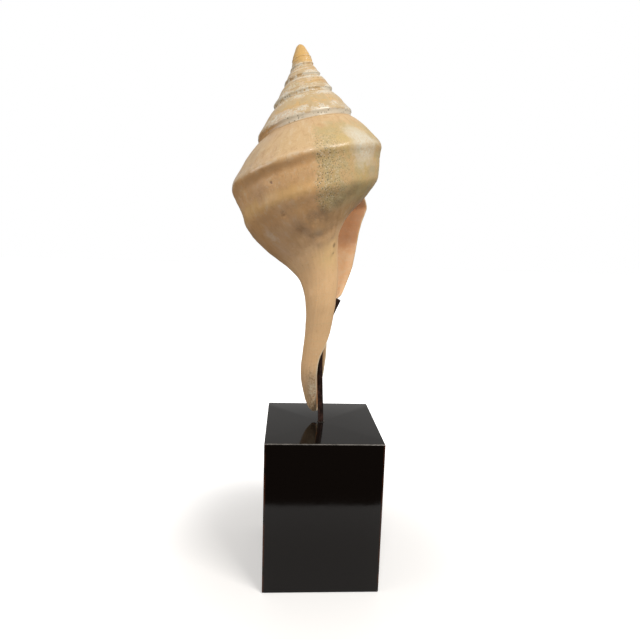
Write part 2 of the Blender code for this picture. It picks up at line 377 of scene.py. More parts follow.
@dataclass
class RodRoute:
    """The rod's centre line: up from the block's hole, a little to the left, then to the right."""

    foot_x: float = -0.8
    points: Tuple[Point, ...] = (
        (-0.8, 0.0, 154.0),
        (-2.4, 0.0, 187.0),
        (-3.6, 0.0, 215.0),
        (-3.4, -0.5, 226.0),
        (-1.9, -1.6, 238.0),
        (0.8, -2.3, 250.0),
        (4.2, -2.8, 262.0),
        (8.6, -3.3, 273.0),
        (12.8, -3.8, 282.5),
    )

    def at(self, height: Array) -> Array:
        """Return the points of the centre line at heights, in mm."""
        line = np.array(self.points)
        return np.stack([np.interp(height, line[:, 2], line[:, axis]) for axis in (0, 1)], -1)


@dataclass
class GrowthLaw:
    """The rule that gives every point of the shell's outer surface and of its hollow."""

    apex: Point = (-31.9, 10.0, 526.3)
    lean_right: float = 8.6
    lean_front: float = 4.95
    lip_spread: float = 100.0
    inner_hold: float = 45.0
    inner_spread: float = 150.0
    apex_radius: float = 2.8
    apex_slope: float = 0.47
    smooth_drop: float = 12.0
    wall: float = 3.0
    inner_shrink: float = 0.45
    inner_shrink_over: float = 60.0
    ceiling_place: float = 0.8
    ceiling_blend_over: float = 40.0
    suture_place: float = 4.0
    neck_place: float = 12.0
    wall_share: float = 0.45
    normal_step: float = 0.02
    route: RodRoute = field(default_factory=RodRoute)

    def __post_init__(self) -> None:
        """Work out the axis's way down and the two directions across it."""
        right = math.sin(math.radians(self.lean_right))
        front = math.sin(math.radians(self.lean_front))
        self.down = np.array((right, -front, -math.sqrt(1.0 - right * right - front * front)))
        across = np.array((1.0, 0.0, 0.0)) - self.down * self.down[0]
        self.across = across / np.linalg.norm(across)
        back = np.cross(self.down, self.across)
        self.back = back * math.copysign(1.0, back[1])

    def level(self, name: str, place: Array) -> Array:
        """Return a station value at places between stations, on a smooth curve.

        Args:
            name: The station's field.
            place: The places, counted in stations.

        Returns:
            The values.
        """
        table = np.array([getattr(station, name) for station in STATIONS], float)
        last = len(table) - 1
        place = np.clip(np.asarray(place, float), 0.0, last)
        low = np.minimum(place.astype(int), last - 1)
        part = place - low
        before, start, end, after = (table[np.clip(low + step, 0, last)] for step in (-1, 0, 1, 2))
        return curve(start, end, (end - before) / 2.0, (after - start) / 2.0, part)

    def edge(self, name: str, place: Array) -> Array:
        """Return the azimuth of one of the mouth's edges, in radians."""
        return np.radians(self.level(name, place))

    def middle(self, place: Array) -> Array:
        """Return the middle of the canal's rings."""
        return np.stack([self.level(name, place) for name in ("ring_x", "ring_y", "ring_z")], -1)

    def ring(self, place: Array, azimuth: Array, reach: Any = 1.0) -> Array:
        """Return points on the canal's outer ring, or at a share of its radius."""
        radius = (self.level("ring_radius", place) * reach)[..., None]
        outward = np.stack((np.cos(azimuth), np.sin(azimuth), 0.0 * azimuth), -1)
        return self.middle(place) + radius * outward

    def early_radius(self, drop: Array) -> Array:
        """Return the radius of the rounded first whorls at a drop below the apex."""
        drop = np.maximum(drop, 0.0)
        dome = self.apex_radius * np.sqrt(np.minimum(drop / self.apex_radius, 1.0))
        return dome + self.apex_slope * drop

    def round_axis(self, drop: Array, radius: Array, azimuth: Array) -> Array:
        """Return points by their drop along the axis, their distance from it and their azimuth."""
        outward = np.cos(azimuth)[..., None] * self.across + np.sin(azimuth)[..., None] * self.back
        return np.array(self.apex) + drop[..., None] * self.down + radius[..., None] * outward

    def whorl(self, place: Array, azimuth: Array, reach: Any = 1.0) -> Array:
        """Return points of the growth line turned to azimuths, which fall as the shell grows."""
        turns = -azimuth / math.tau
        radius = self.level("radius", place) * WIDEN_PER_TURN**turns * reach
        drop = self.level("drop", place) * DROP_PER_TURN**turns
        late = smooth((drop - self.smooth_drop) / self.smooth_drop)
        return self.round_axis(drop, between(self.early_radius(drop), radius, late), azimuth)

    def surface(self, place: Array, azimuth: Array, reach: Any = 1.0) -> Array:
        """Return points of the shell's outer surface, in mm."""
        place, azimuth = np.broadcast_arrays(np.asarray(place, float), np.asarray(azimuth, float))
        inner = self.edge("inner_edge", place)
        outer = self.edge("outer_edge", place)
        spread, hold = math.radians(self.inner_spread), math.radians(self.inner_hold)
        from_inner = smooth((spread - inner + azimuth) / (spread - hold))
        from_lip = smooth(1.0 - (azimuth - outer + math.tau) / math.radians(self.lip_spread))
        share = self.level("ring_share", place) + self.level("lip_share", place) * from_lip
        reach = reach * (1.0 - self.level("inner_pull", place) * from_inner)
        return between(
            self.whorl(place, azimuth, reach), self.ring(place, azimuth, reach), share[..., None]
        )

    def normal(self, place: Array, azimuth: Array) -> Array:
        """Return the outward normals of the shell's outer surface."""
        step = self.normal_step
        along = self.surface(place + step, azimuth) - self.surface(np.maximum(place - step, 0.0), azimuth)
        turned = self.surface(place, azimuth + step) - self.surface(place, azimuth - step)
        return unit(-np.cross(turned, along))

    def deep(self, place: Array, edge_place: Array, ceiling: float, back: Array) -> Array:
        """Return the levels that the mouth's levels go over to, deeper in the hollow."""
        deep_place = between(ceiling, self.neck_place, place / self.neck_place)
        blended = between(edge_place, deep_place, smooth(back / math.radians(self.ceiling_blend_over)))
        return np.where(place > self.neck_place, place, blended)

    def against_whorl(self, place: Array, back: Array) -> Array:
        """Return points of the hollow that lie on the whorl within, by their angle back."""
        edge_place = np.maximum(place, self.suture_place)
        deep = self.deep(place, edge_place, self.suture_place + self.ceiling_place, back)
        shrink = self.inner_shrink * self.level("ring_share", place)
        reach = 1.0 - shrink * smooth(back / math.radians(self.inner_shrink_over))
        return self.surface(deep, self.edge("inner_edge", place) + back, reach)

    def under_wall(self, place: Array, back: Array) -> Array:
        """Return points of the hollow that lie under the outer wall, by their angle back."""
        azimuth = self.edge("outer_edge", place) - math.tau + back
        deep = self.deep(place, place, self.ceiling_place, back)
        under = self.surface(deep, azimuth) - self.normal(deep, azimuth) * self.wall
        return np.where((place > 0.0)[..., None], under, self.against_whorl(place, back))

    def down_wall(self, share: Array) -> Array:
        """Return how far down the near wall each share of the inside is, from 0 to 1."""
        return np.clip(share / self.wall_share, 0.0, 1.0)

    def over_floor(self, share: Array) -> Array:
        """Return how far over the floor, between the two walls, each share is, from 0 to 1."""
        return np.clip((share - self.wall_share) / (1.0 - 2.0 * self.wall_share), 0.0, 1.0)

    def hollow(self, place: Array, share: Array) -> Array:
        """Return points of the hollow, with share 0 at the lip and 1 at the inner edge."""
        depth = self.edge("depth", place)
        near = self.under_wall(place, depth * self.down_wall(share))
        far = self.against_whorl(place, depth * self.down_wall(1.0 - share))
        return between(near, far, self.over_floor(share)[..., None])

    def groove(self, place: Array, share: Array) -> Array:
        """Return points of the canal's groove, which opens towards the rod."""
        half_width = self.level("slot_half_width", place)[..., None]
        bottom = self.level("slot_bottom", place)[..., None]
        centre = self.middle(place)
        ahead = unit(self.route.at(centre[..., 2]) - centre[..., :2])
        ahead = np.concatenate((ahead, 0.0 * ahead[..., :1]), -1)
        sideways = np.stack((-ahead[..., 1], ahead[..., 0], 0.0 * ahead[..., 0]), -1)
        span = share[..., None]
        turn = self.over_floor(span) * math.pi
        floor = centre + ahead * (bottom - half_width * np.sin(turn)) + sideways * half_width * np.cos(turn)
        lip = self.hollow(place, 0.0 * share)
        edge = self.hollow(place, 0.0 * share + 1.0)
        lip_wall = between(lip, floor, self.down_wall(span))
        edge_wall = between(edge, floor, self.down_wall(1.0 - span))
        return np.where(span < 0.5, lip_wall, edge_wall)

    def inside(self, place: Array, share: Array) -> Array:
        """Return points of the inside, with share 0 at the lip and 1 at the inner edge."""
        open_share = self.level("slot_share", place)[..., None]
        return between(self.hollow(place, share), self.groove(place, share), open_share)


@dataclass(frozen=True)
class Mark:
    """A dent, or with a negative depth a lump, at a point of the shell's surface, in mm."""

    at: Point
    reach: float
    depth: float


@dataclass(frozen=True)
class Band:
    """A raised band that follows the growth line, or with a negative height a sunken one.

    The place and its half width are counted in stations, the height is in mm, and the band runs
    from one turn to another and fades out over a part of a turn.
    """

    place: float
    half_width: float
    height: float
    from_turn: float
    to_turn: float
    fade_over: float = 0.08

    def rise(self, place: Array, turns: Array) -> Array:
        """Return the band's height at each point."""
        across = np.exp(-(((place - self.place) / self.half_width) ** 2))
        start = fade(turns - self.from_turn, self.fade_over)
        end = fade(self.to_turn - turns, self.fade_over)
        return self.height * across * start * end


@dataclass
class Relief:
    """What time and growth add to the smooth surface, in mm along its normal."""

    small_whorl_power: float = 0.6
    lump_size: float = 24.0
    lump_height: float = 0.55
    grain_size: float = 6.0
    grain_height: float = 0.16
    growth_lines_per_turn: float = 56.0
    growth_lines_per_place: float = 0.3
    growth_line_height: float = 0.26
    cords_per_turn: float = 2.0
    cords_per_place: float = 3.4
    cord_height: float = 0.12
    spire_cord_height: float = 0.3
    spire_from_turn: float = -0.9
    spire_fade: float = 0.3
    keel_place: float = 3.0
    keel_width: float = 0.5
    keel_knobs_per_turn: float = 17.0
    keel_knob_height: float = 0.45
    spire_knob_height: float = 1.5
    seam_fade: float = 0.35
    bands: Tuple[Band, ...] = (
        Band(3.05, 0.30, 0.5, 0.20, 0.75),
        Band(4.20, 0.75, -1.1, 0.24, 0.43, 0.12),
        Band(6.45, 0.45, 0.8, 0.22, 0.55),
        Band(7.65, 0.60, -0.8, 0.20, 0.44),
        Band(5.90, 0.90, 0.8, 0.00, 0.20),
        Band(3.00, 0.26, 0.9, -9.00, -0.15),
        Band(3.50, 0.18, -0.5, -9.00, -0.15),
        Band(2.00, 0.50, -0.7, -9.00, -0.90),
        Band(0.50, 0.14, 0.4, -9.00, 0.80),
    )
    marks: Tuple[Mark, ...] = (
        Mark((-44.2, -54.8, 362.0), 2.2, 1.5),
        Mark((-41.0, -55.8, 359.5), 1.5, 1.0),
        Mark((-55.1, -59.7, 389.5), 1.2, 0.9),
        Mark((-16.0, -47.0, 349.0), 6.5, -1.4),
        Mark((-7.0, -46.0, 351.0), 6.0, -1.1),
        Mark((-9.0, -38.0, 340.0), 5.0, -1.3),
        Mark((0.0, -36.0, 345.0), 4.5, -1.0),
        Mark((-14.0, -56.0, 362.0), 8.0, 1.1),
        Mark((-27.0, -46.0, 347.0), 6.0, 1.5),
        Mark((-12.0, -42.0, 344.5), 2.6, 0.8),
        Mark((3.0, -31.0, 341.0), 4.0, 1.0),
        Mark((5.0, -24.0, 325.0), 2.5, 0.8),
        Mark((4.0, -26.0, 331.0), 2.5, -0.7),
        Mark((-8.0, -15.0, 246.0), 1.0, 0.7),
        Mark((-8.0, -12.0, 229.0), 1.0, 0.7),
        Mark((-9.0, -5.0, 209.0), 2.6, 1.1),
        Mark((-8.0, -4.0, 199.0), 2.2, 1.2),
        Mark((-10.0, -2.5, 190.0), 2.4, 1.0),
        Mark((-8.5, 0.5, 181.0), 2.0, 1.0),
    )

    def noise(self, where: Array, octaves: int = 1) -> Array:
        """Return a smooth noise around 0 at each point.

        Args:
            where: Points, in waves of the noise.
            octaves: How many layers, each half the size of the one before.

        Returns:
            One value for each point.
        """
        flat = where.reshape(-1, 3)
        values = [noise.fractal(Vector(point), 1.0, 2.0, octaves) for point in flat]
        return np.array(values).reshape(where.shape[:-1])

    def along_growth(self, turns: Array, level: Array, layer: float, octaves: int = 2) -> Array:
        """Return a noise in waves of turns and levels, on one of its layers."""
        return self.noise(np.stack((turns, level, 0.0 * turns + layer), -1), octaves)

    def height(self, point: Array, place: Array, azimuth: Array) -> Array:
        """Return how far each point of the surface moves out.

        Args:
            point: The points, in mm.
            place: Their levels.
            azimuth: Their azimuths, in radians.

        Returns:
            The heights, in mm.
        """
        turns = -azimuth / math.tau
        grown = np.minimum(WIDEN_PER_TURN ** (turns * self.small_whorl_power), 1.0)
        level = np.broadcast_to(place, turns.shape)
        on_spire = fade(self.spire_from_turn - turns, self.spire_fade)
        cords = between(self.cord_height, self.spire_cord_height, on_spire)
        knobs = between(self.keel_knob_height, self.spire_knob_height, on_spire)
        on_keel = np.exp(-(((level - self.keel_place) / self.keel_width) ** 2))

        height = self.lump_height * self.noise(point / self.lump_size, 2)
        height += self.grain_height * self.noise(point / self.grain_size, 2)
        lines = self.along_growth(
            turns * self.growth_lines_per_turn, level * self.growth_lines_per_place, 0.0
        )
        height += self.growth_line_height * lines
        height += cords * self.along_growth(
            turns * self.cords_per_turn, level * self.cords_per_place, 7.0
        )
        height += knobs * on_keel * self.along_growth(turns * self.keel_knobs_per_turn, level, 3.0, 1)
        for band in self.bands:
            height += band.rise(level, turns)
        height *= grown
        for mark in self.marks:
            away = np.linalg.norm(point - np.array(mark.at), axis=-1) / mark.reach
            height -= mark.depth * np.exp(-(away**2))
        return height


@dataclass
class TrumpetShell:
    """The shell, woven on its growth law as one closed mesh."""

    law: GrowthLaw = field(default_factory=GrowthLaw)
    relief: Relief = field(default_factory=Relief)
    columns: int = 300
    inside_columns: int = 72
    lip_columns: int = 4
    lip_round: float = 0.9
    lip_blend: float = 0.12
    lip_grows_over: float = 0.3
    spire_turns: int = 5
    dome_rows: int = 9
    row_runs: Tuple[Tuple[float, float, int], ...] = (
        (0.0, 0.3, 3),
        (0.3, 2.4, 7),
        (2.4, 3.6, 6),
        (3.6, 4.0, 2),
        (4.0, 8.0, 28),
        (8.0, 14.0, 42),
        (14.0, 21.0, 40),
    )
    start_azimuth: float = 57.0
    merge_distance: float = 0.0005
    far_from_edge: float = 30.0
    sheltered_over: float = 14.0
    seam_free_after: float = 25.0
    joins_from: float = 0.85
    sharp_from: float = 60.0

    def places(self) -> Array:
        """Return the levels of the rows, from the suture to the canal's tip."""
        runs = [np.linspace(low, high, count + 1)[1:] for low, high, count in self.row_runs]
        return np.concatenate([[0.0]] + runs)

    def skin(self, place: Array, azimuth: Array) -> Tuple[Array, Array]:
        """Return the outer surface with its relief, which fades out at the sutures.

        Args:
            place: The levels of the points.
            azimuth: Their azimuths, in radians.

        Returns:
            The points and how far each was moved, in mm.
        """
        place, azimuth = np.broadcast_arrays(place, azimuth)
        smooth_skin = self.law.surface(place, azimuth)
        height = self.relief.height(smooth_skin, place, azimuth)
        fade = smooth(place / self.relief.seam_fade)
        above = smooth(np.abs(self.law.suture_place - place) / self.relief.seam_fade)
        free = smooth((math.radians(self.start_azimuth) - azimuth) / math.radians(self.seam_free_after))
        fade = fade * between(above, 1.0, free)
        moved = self.law.normal(place, azimuth) * (height * fade)[..., None]
        return smooth_skin + moved, moved

    def weave(self, mesh: bmesh.types.BMesh, points: Array, looks: Looks) -> None:
        """Add a grid and move its vertices to a sheet of points.

        Args:
            mesh: The mesh that gets the grid.
            points: Rows of points, in mm.
            looks: For each point, its turns and place for the growth map, its shelter and its gap.
        """
        rows, columns = points.shape[:2]
        made = bmesh.ops.create_grid(mesh, x_segments=columns - 1, y_segments=rows - 1, size=1.0)
        growth = mesh.loops.layers.uv["growth"]
        shelter = mesh.verts.layers.float["shelter"]
        gap = mesh.verts.layers.float["gap"]
        map_of = {}
        for vert in made["verts"]:
            column = round((vert.co.x + 1.0) / 2.0 * (columns - 1))
            row = round((vert.co.y + 1.0) / 2.0 * (rows - 1))
            vert.co = points[row, column] * MM
            vert[shelter] = looks["shelter"][row, column]
            vert[gap] = looks["gap"][row, column]
            map_of[vert] = (looks["turns"][row, column], looks["place"][row, column])
        faces = {face for vert in made["verts"] for face in vert.link_faces}
        for face in faces:
            for loop in face.loops:
                loop[growth].uv = map_of[loop.vert]

    def spire(self, mesh: bmesh.types.BMesh) -> None:
        """Add the whorls above the last one, and the first whorl's rounded end."""
        places = self.places()
        places = places[places <= self.law.suture_place][:, None]
        around = np.linspace(0.0, 1.0, self.columns + 1)[None, :]
        start = math.radians(self.start_azimuth)
        for turn in range(self.spire_turns, 0, -1):
            azimuth = start + math.tau * (turn - around)
            points, _ = self.skin(places, azimuth)
            self.weave(mesh, points, self.outside_looks(places, azimuth))

        azimuth = start + math.tau * (self.spire_turns + 1 - around)
        drops = self.law.level("drop", places)
        share = (drops - drops[0]) / (drops[-1] - drops[0])
        spiral = drops[-1] * DROP_PER_TURN ** (-azimuth / math.tau)
        rim = spiral[:, :1]
        drop = between(rim, spiral, share)
        points = self.law.round_axis(drop, self.law.early_radius(drop), azimuth)
        joining = smooth((around - self.joins_from) / (1.0 - self.joins_from)) * (places > 0.0)
        points = between(points, self.skin(places, azimuth)[0], joining[..., None])
        points[-1] = self.skin(places[:1], azimuth - math.tau)[0][0]
        self.weave(mesh, points, self.outside_looks(places, azimuth))

        share = (np.linspace(0.0, 1.0, self.dome_rows + 1)[:, None]) ** 2
        drop = rim * share + 0.0 * azimuth
        points = self.law.round_axis(drop, self.law.early_radius(drop), azimuth)
        self.weave(mesh, points, self.outside_looks(0.0 * share, azimuth))

    def outside_looks(self, place: Array, azimuth: Array) -> Looks:
        """Return what the finish reads on the outside, far from the mouth."""
        none = 0.0 * azimuth + 0.0 * place
        return {
            "turns": none - azimuth / math.tau,
            "place": none + place / len(STATIONS),
            "shelter": none,
            "gap": none + self.far_from_edge,
        }

    def last_whorl(self, mesh: bmesh.types.BMesh) -> None:
        """Add the last whorl and the canal, with the lip and the inside, as one sheet."""
        places = self.places()[:, None]
        inner = self.law.edge("inner_edge", places)
        sweep = math.tau - self.law.edge("outer_edge", places) + inner
        around = np.linspace(0.0, 1.0, self.columns + 1)[None, :]
        azimuth = inner - sweep * around
        outside, moved = self.skin(places, azimuth)

        share = np.linspace(0.0, 1.0, self.inside_columns + 1)[None, :]
        level, share = np.broadcast_arrays(places, share)
        inside = self.law.inside(level, share)
        at_lip = smooth(1.0 - share / self.lip_blend)[..., None]
        at_edge = smooth(1.0 - (1.0 - share) / self.lip_blend)[..., None]
        inside = inside + moved[:, -1:] * at_lip + moved[:, :1] * at_edge
        start = np.array(math.radians(self.start_azimuth))
        suture = self.law.surface(np.array(self.law.suture_place), start)
        above = places[:, 0] <= self.law.suture_place
        inside[:, -1] = np.where(above[:, None], suture, outside[:, 0])
        inside[0, 0] = outside[0, -1]

        ahead = unit(outside[:, -1] - outside[:, -2])
        steps = np.arange(1, self.lip_columns) / self.lip_columns
        bulge = self.lip_round * np.minimum(places / self.lip_grows_over, 1.0)
        lip = [
            between(outside[:, -1], inside[:, 0], step) + ahead * bulge * math.sin(math.pi * step)
            for step in steps
        ]
        points = np.concatenate((outside, np.stack(lip, 1), inside), 1)
        self.weave(mesh, points, self.last_whorl_looks(places, azimuth, points, share))

    def last_whorl_looks(self, places: Array, azimuth: Array, points: Array, share: Array) -> Looks:
        """Return what the finish reads on the last whorl.

        Args:
            places: The levels of the rows.
            azimuth: The azimuths of the outside.
            points: All points, from the inner edge round the lip to the inner edge again.
            share: The inside's shares, from the lip to the inner edge.

        Returns:
            The turns, place, shelter and gap of each point.
        """
        rows = len(places)
        lip = self.lip_columns - 1
        inner = self.law.edge("inner_edge", places)
        back = self.law.edge("depth", places) / self.law.wall_share
        before = azimuth[:, -1:] + back * share
        behind = inner + back * (1.0 - share)
        turned = np.where(share < 0.5, before, behind)
        lip_azimuth = np.repeat(azimuth[:, -1:], lip, 1)
        everywhere = np.concatenate((azimuth, lip_azimuth, turned), 1)

        steps = np.linalg.norm(np.diff(points, axis=1), axis=-1)
        along = np.concatenate((np.zeros((rows, 1)), np.cumsum(steps, 1)), 1)
        to_lip = np.abs(along - along[:, azimuth.shape[1] : azimuth.shape[1] + 1])
        open_below = places > self.law.suture_place
        to_inner = np.where(open_below, np.minimum(along, along[:, -1:] - along), self.far_from_edge)
        gap = np.minimum(np.minimum(to_lip, to_inner), self.far_from_edge)

        outside = np.zeros(azimuth.shape)
        on_lip = np.linspace(0.0, 0.5, lip + 2)[None, 1:-1] * np.ones((rows, 1))
        distance = np.minimum(to_lip, np.where(open_below, along[:, -1:] - along, self.far_from_edge))
        within = smooth(0.5 + 0.5 * distance[:, -share.shape[1] :] / self.sheltered_over)
        return {
            "turns": -everywhere / math.tau,
            "place": places / len(STATIONS) + 0.0 * everywhere,
            "shelter": np.concatenate((outside, on_lip, within), 1),
            "gap": gap,
        }

    def build(self) -> bpy.types.Object:
        """Make the shell.

        Returns:
            The finished object.
        """
        mesh = bmesh.new()
        mesh.loops.layers.uv.new("growth")
        mesh.verts.layers.float.new("shelter")
        mesh.verts.layers.float.new("gap")
        self.spire(mesh)
        self.last_whorl(mesh)
        bmesh.ops.remove_doubles(mesh, verts=mesh.verts, dist=self.merge_distance * MM)
        rim = [edge for edge in mesh.edges if edge.is_boundary]
        LOG.info("open edges before the tip is closed: %d", len(rim))
        bmesh.ops.triangle_fill(mesh, use_beauty=True, use_dissolve=False, edges=rim)
        bmesh.ops.recalc_face_normals(mesh, faces=mesh.faces)
        LOG.info("open edges left: %d", sum(not edge.is_manifold for edge in mesh.edges))
        return add_piece("shell_surface", mesh, ShellFinish().material(), "shell", self.sharp_from)


class ShellPaint(Paint):
    """The shell's material under construction, with wires that say where a point of it is."""

    def __init__(self, name: str) -> None:
        """Add the nodes that read the place, the growth map and the mouth's attributes.

        Args:
            name: The finish's name.
        """
        super().__init__(name)
        self.growth = self.node("ShaderNodeUVMap", {"uv_map": "growth"})
        self.turns, place, _ = self.parts(self.growth)
        self.level = place * float(len(STATIONS))
        self.across, _, self.height = self.parts(self.where)
        self.shelter = self.node("ShaderNodeAttribute", {"attribute_name": "shelter"}, {}, "Fac")
        self.gap = self.node("ShaderNodeAttribute", {"attribute_name": "gap"}, {}, "Fac")
        self.cloud = self.noise(self.where, 0.03, 3.0, 0.55)
        self.mottle = self.noise(self.where, 0.11, 4.0, 0.6)
        self.fine = self.noise(self.where, 0.5, 4.0, 0.65)
        self.streak = self.along_growth(70.0, 30.0, 3.0, 0.55)
        self.hair = self.along_growth(240.0, 16.0, 2.0, 0.5)
        self.thread = self.along_growth(2.5, 190.0, 2.0, 0.5)
        self.band = self.along_growth(4.0, 52.0, 2.0, 0.5)
        self.wobble = self.uneven(26.0, 10.0)
        self.uneven_turns = self.turns + self.uneven(0.03, 0.012)
        self.uneven_level = self.level + self.uneven(1.1, 0.3)
        self.colour: Any = None

    def along_growth(self, per_turn: float, per_place: float, detail: float, rough: float) -> Wire:
        """Return a noise with so many waves along a turn and over the places."""
        return self.noise(self.scaled(self.growth, (per_turn, per_place, 1.0)), 1.0, detail, rough)

    def uneven(self, broad: float, fine: float) -> Wire:
        """Return a value around 0 that wanders by a broad and a fine amount."""
        return (self.mottle - 0.5) * broad + (self.fine - 0.5) * fine

    def lay(self, colour: Any, strength: float, *masks: Wire) -> None:
        """Lay a colour over what is there.

        Args:
            colour: The colour, or a wire with one.
            strength: How much of it shows where all masks are 1.
            masks: Where it goes. They are multiplied.
        """
        share = masks[0]
        for mask in masks[1:]:
            share = share * mask
        self.colour = self.mix(share * strength, self.colour, colour)


@dataclass(frozen=True)
class StainAndShadePatch:
    """A soft-edged patch of colour round a point of the shell, in mm: most are the shell's own staining,
    and the dark ones in dents and pits are painted shade.
    """

    at: Point
    reach: float
    soft: float
    colour: Colour
    strength: float


@dataclass(frozen=True)
class ShellFinish:
    """Worn creamy peach shell, stained olive and grey on the right, warm and glossy inside, with painted
    shade under the keels, below the second ridge, in dents and pits and at the mouth's top.
    """

    cream: Colour = (0.75, 0.54, 0.29)
    peach: Colour = (0.74, 0.43, 0.19)
    ochre: Colour = (0.72, 0.45, 0.17)
    # umber is also laid as painted shade under the keels and below the second ridge
    umber: Colour = (0.52, 0.28, 0.12)
    rose: Colour = (0.70, 0.46, 0.27)
    olive: Colour = (0.60, 0.44, 0.21)
    moss: Colour = (0.53, 0.41, 0.15)
    chalk: Colour = (0.74, 0.66, 0.50)
    grey: Colour = (0.54, 0.47, 0.34)
    soot: Colour = (0.15, 0.115, 0.06)
    brown: Colour = (0.36, 0.22, 0.12)
    apex: Colour = (0.72, 0.43, 0.13)
    apricot: Colour = (0.82, 0.49, 0.25)
    # painted shade at the top of the mouth
    deep: Colour = (0.48, 0.20, 0.09)
    ivory: Colour = (0.82, 0.69, 0.49)
    glow: Colour = (0.92, 0.60, 0.32)
    tan: Colour = (0.56, 0.42, 0.22)
    pink: Colour = (0.71, 0.55, 0.39)
    white: Colour = (0.76, 0.70, 0.57)
    old_growth_turn: float = 0.262
    wide_stain_and_shade: float = 6.0
    # staining of the shell, and painted shade in dents and pits
    stains_and_shade: Tuple[StainAndShadePatch, ...] = (
        StainAndShadePatch((7.5, -64.5, 426.5), 8.0, 9.0, (0.64, 0.46, 0.16), 0.55),
        StainAndShadePatch((26.0, -52.0, 426.0), 15.0, 10.0, (0.74, 0.69, 0.56), 0.80),
        StainAndShadePatch((34.0, -42.0, 406.0), 7.0, 8.0, (0.52, 0.44, 0.30), 0.65),
        StainAndShadePatch((16.0, -55.0, 438.0), 10.0, 8.0, (0.74, 0.68, 0.55), 0.70),
        StainAndShadePatch((23.0, -56.0, 408.0), 6.0, 6.0, (0.66, 0.60, 0.46), 0.55),
        StainAndShadePatch((21.0, -57.0, 386.0), 7.0, 9.0, (0.21, 0.165, 0.09), 0.58),
        StainAndShadePatch((11.0, -58.0, 379.0), 5.0, 7.0, (0.23, 0.18, 0.10), 0.55),
        StainAndShadePatch((3.0, -58.0, 373.0), 6.0, 8.0, (0.23, 0.175, 0.10), 0.60),
        # the next two: painted shade in dents on the front
        StainAndShadePatch((-14.0, -56.0, 362.0), 8.0, 8.0, (0.34, 0.20, 0.10), 0.70),
        StainAndShadePatch((-27.0, -48.0, 350.0), 10.0, 11.0, (0.40, 0.24, 0.12), 0.50),
        StainAndShadePatch((-12.0, -46.0, 349.0), 5.0, 5.0, (0.62, 0.42, 0.23), 0.45),
        StainAndShadePatch((-8.0, -49.0, 355.0), 9.0, 9.0, (0.40, 0.25, 0.13), 0.50),
        StainAndShadePatch((-57.0, -36.0, 339.0), 8.0, 9.0, (0.84, 0.68, 0.50), 0.80),
        StainAndShadePatch((-63.0, -52.0, 378.0), 8.0, 8.0, (0.46, 0.26, 0.12), 0.55),
        StainAndShadePatch((2.0, -27.0, 327.0), 14.0, 16.0, (0.72, 0.50, 0.21), 0.55),
        StainAndShadePatch((5.0, -25.5, 336.0), 2.2, 1.6, (0.26, 0.16, 0.08), 0.85),
        StainAndShadePatch((5.5, -24.5, 329.0), 1.8, 1.4, (0.26, 0.16, 0.08), 0.80),
        StainAndShadePatch((5.0, -24.0, 323.0), 1.4, 1.2, (0.30, 0.19, 0.10), 0.70),
        # the next three: painted shade in pits
        StainAndShadePatch((-44.2, -54.8, 362.0), 1.5, 1.3, (0.20, 0.11, 0.05), 0.95),
        StainAndShadePatch((-41.0, -55.8, 359.5), 1.0, 1.0, (0.20, 0.11, 0.05), 0.80),
        StainAndShadePatch((-55.1, -59.7, 389.5), 1.6, 1.0, (0.22, 0.12, 0.06), 0.90),
        StainAndShadePatch((-73.0, -49.0, 385.0), 12.0, 12.0, (0.50, 0.29, 0.14), 0.45),
        StainAndShadePatch((-57.0, -41.0, 352.0), 11.0, 12.0, (0.50, 0.32, 0.20), 0.30),
    )

    def ground(self, at: ShellPaint) -> None:
        """Lay the shell's own colour, with its growth lines and spiral threads."""
        at.colour = at.mix(at.step(at.uneven_level, 3.6, 2.4), self.peach, self.cream)
        at.lay(self.rose, 0.40, at.step(at.cloud, 0.42, 0.62))
        at.lay(self.cream, 0.35, at.step(at.mottle, 0.50, 0.70))
        at.lay(self.umber, 0.40, at.step(at.mottle, 0.44, 0.28))
        neck = at.window(at.uneven_level, 9.8, 17.0, 1.2)
        at.lay(self.glow, 0.7, neck)
        at.lay(self.umber, 0.22, at.step(at.uneven_level, 3.2, 2.4), at.step(at.turns, -0.16, -0.10))
        lined = 1.0 - neck * 0.75
        at.lay(self.umber, 0.42, at.step(at.streak, 0.52, 0.68), lined)
        at.lay(self.ivory, 0.25, at.step(at.streak, 0.46, 0.34), lined)
        at.lay(self.umber, 0.22, at.step(at.fine, 0.44, 0.32))
        at.lay(self.ivory, 0.22, at.step(at.fine, 0.56, 0.68))
        at.lay(self.cream, 0.22, at.step(at.thread, 0.55, 0.75))
        at.lay(self.brown, 0.20, at.step(at.hair, 0.60, 0.72), lined)

    def bands_and_painted_shade(self, at: ShellPaint) -> None:
        """Lay the bands that run along the last whorl's left side: painted shade under the keel, an ochre
        band on the second ridge, and painted shade below that ridge.
        """
        left = at.step(at.uneven_turns, self.old_growth_turn - 0.03, self.old_growth_turn + 0.05)
        # painted shade in the hollow under the keel
        at.lay(self.umber, 0.42, at.window(at.uneven_level, 3.3, 4.4, 0.7), left)
        at.lay(self.ochre, 0.55, at.window(at.uneven_level, 5.8, 6.8, 0.6), left)
        # painted shade below the second ridge, down over the base
        below = at.window(at.uneven_level, 7.2, 10.2, 0.9)
        at.lay(self.umber, 0.42, below, at.step(at.turns, 0.16, 0.26))

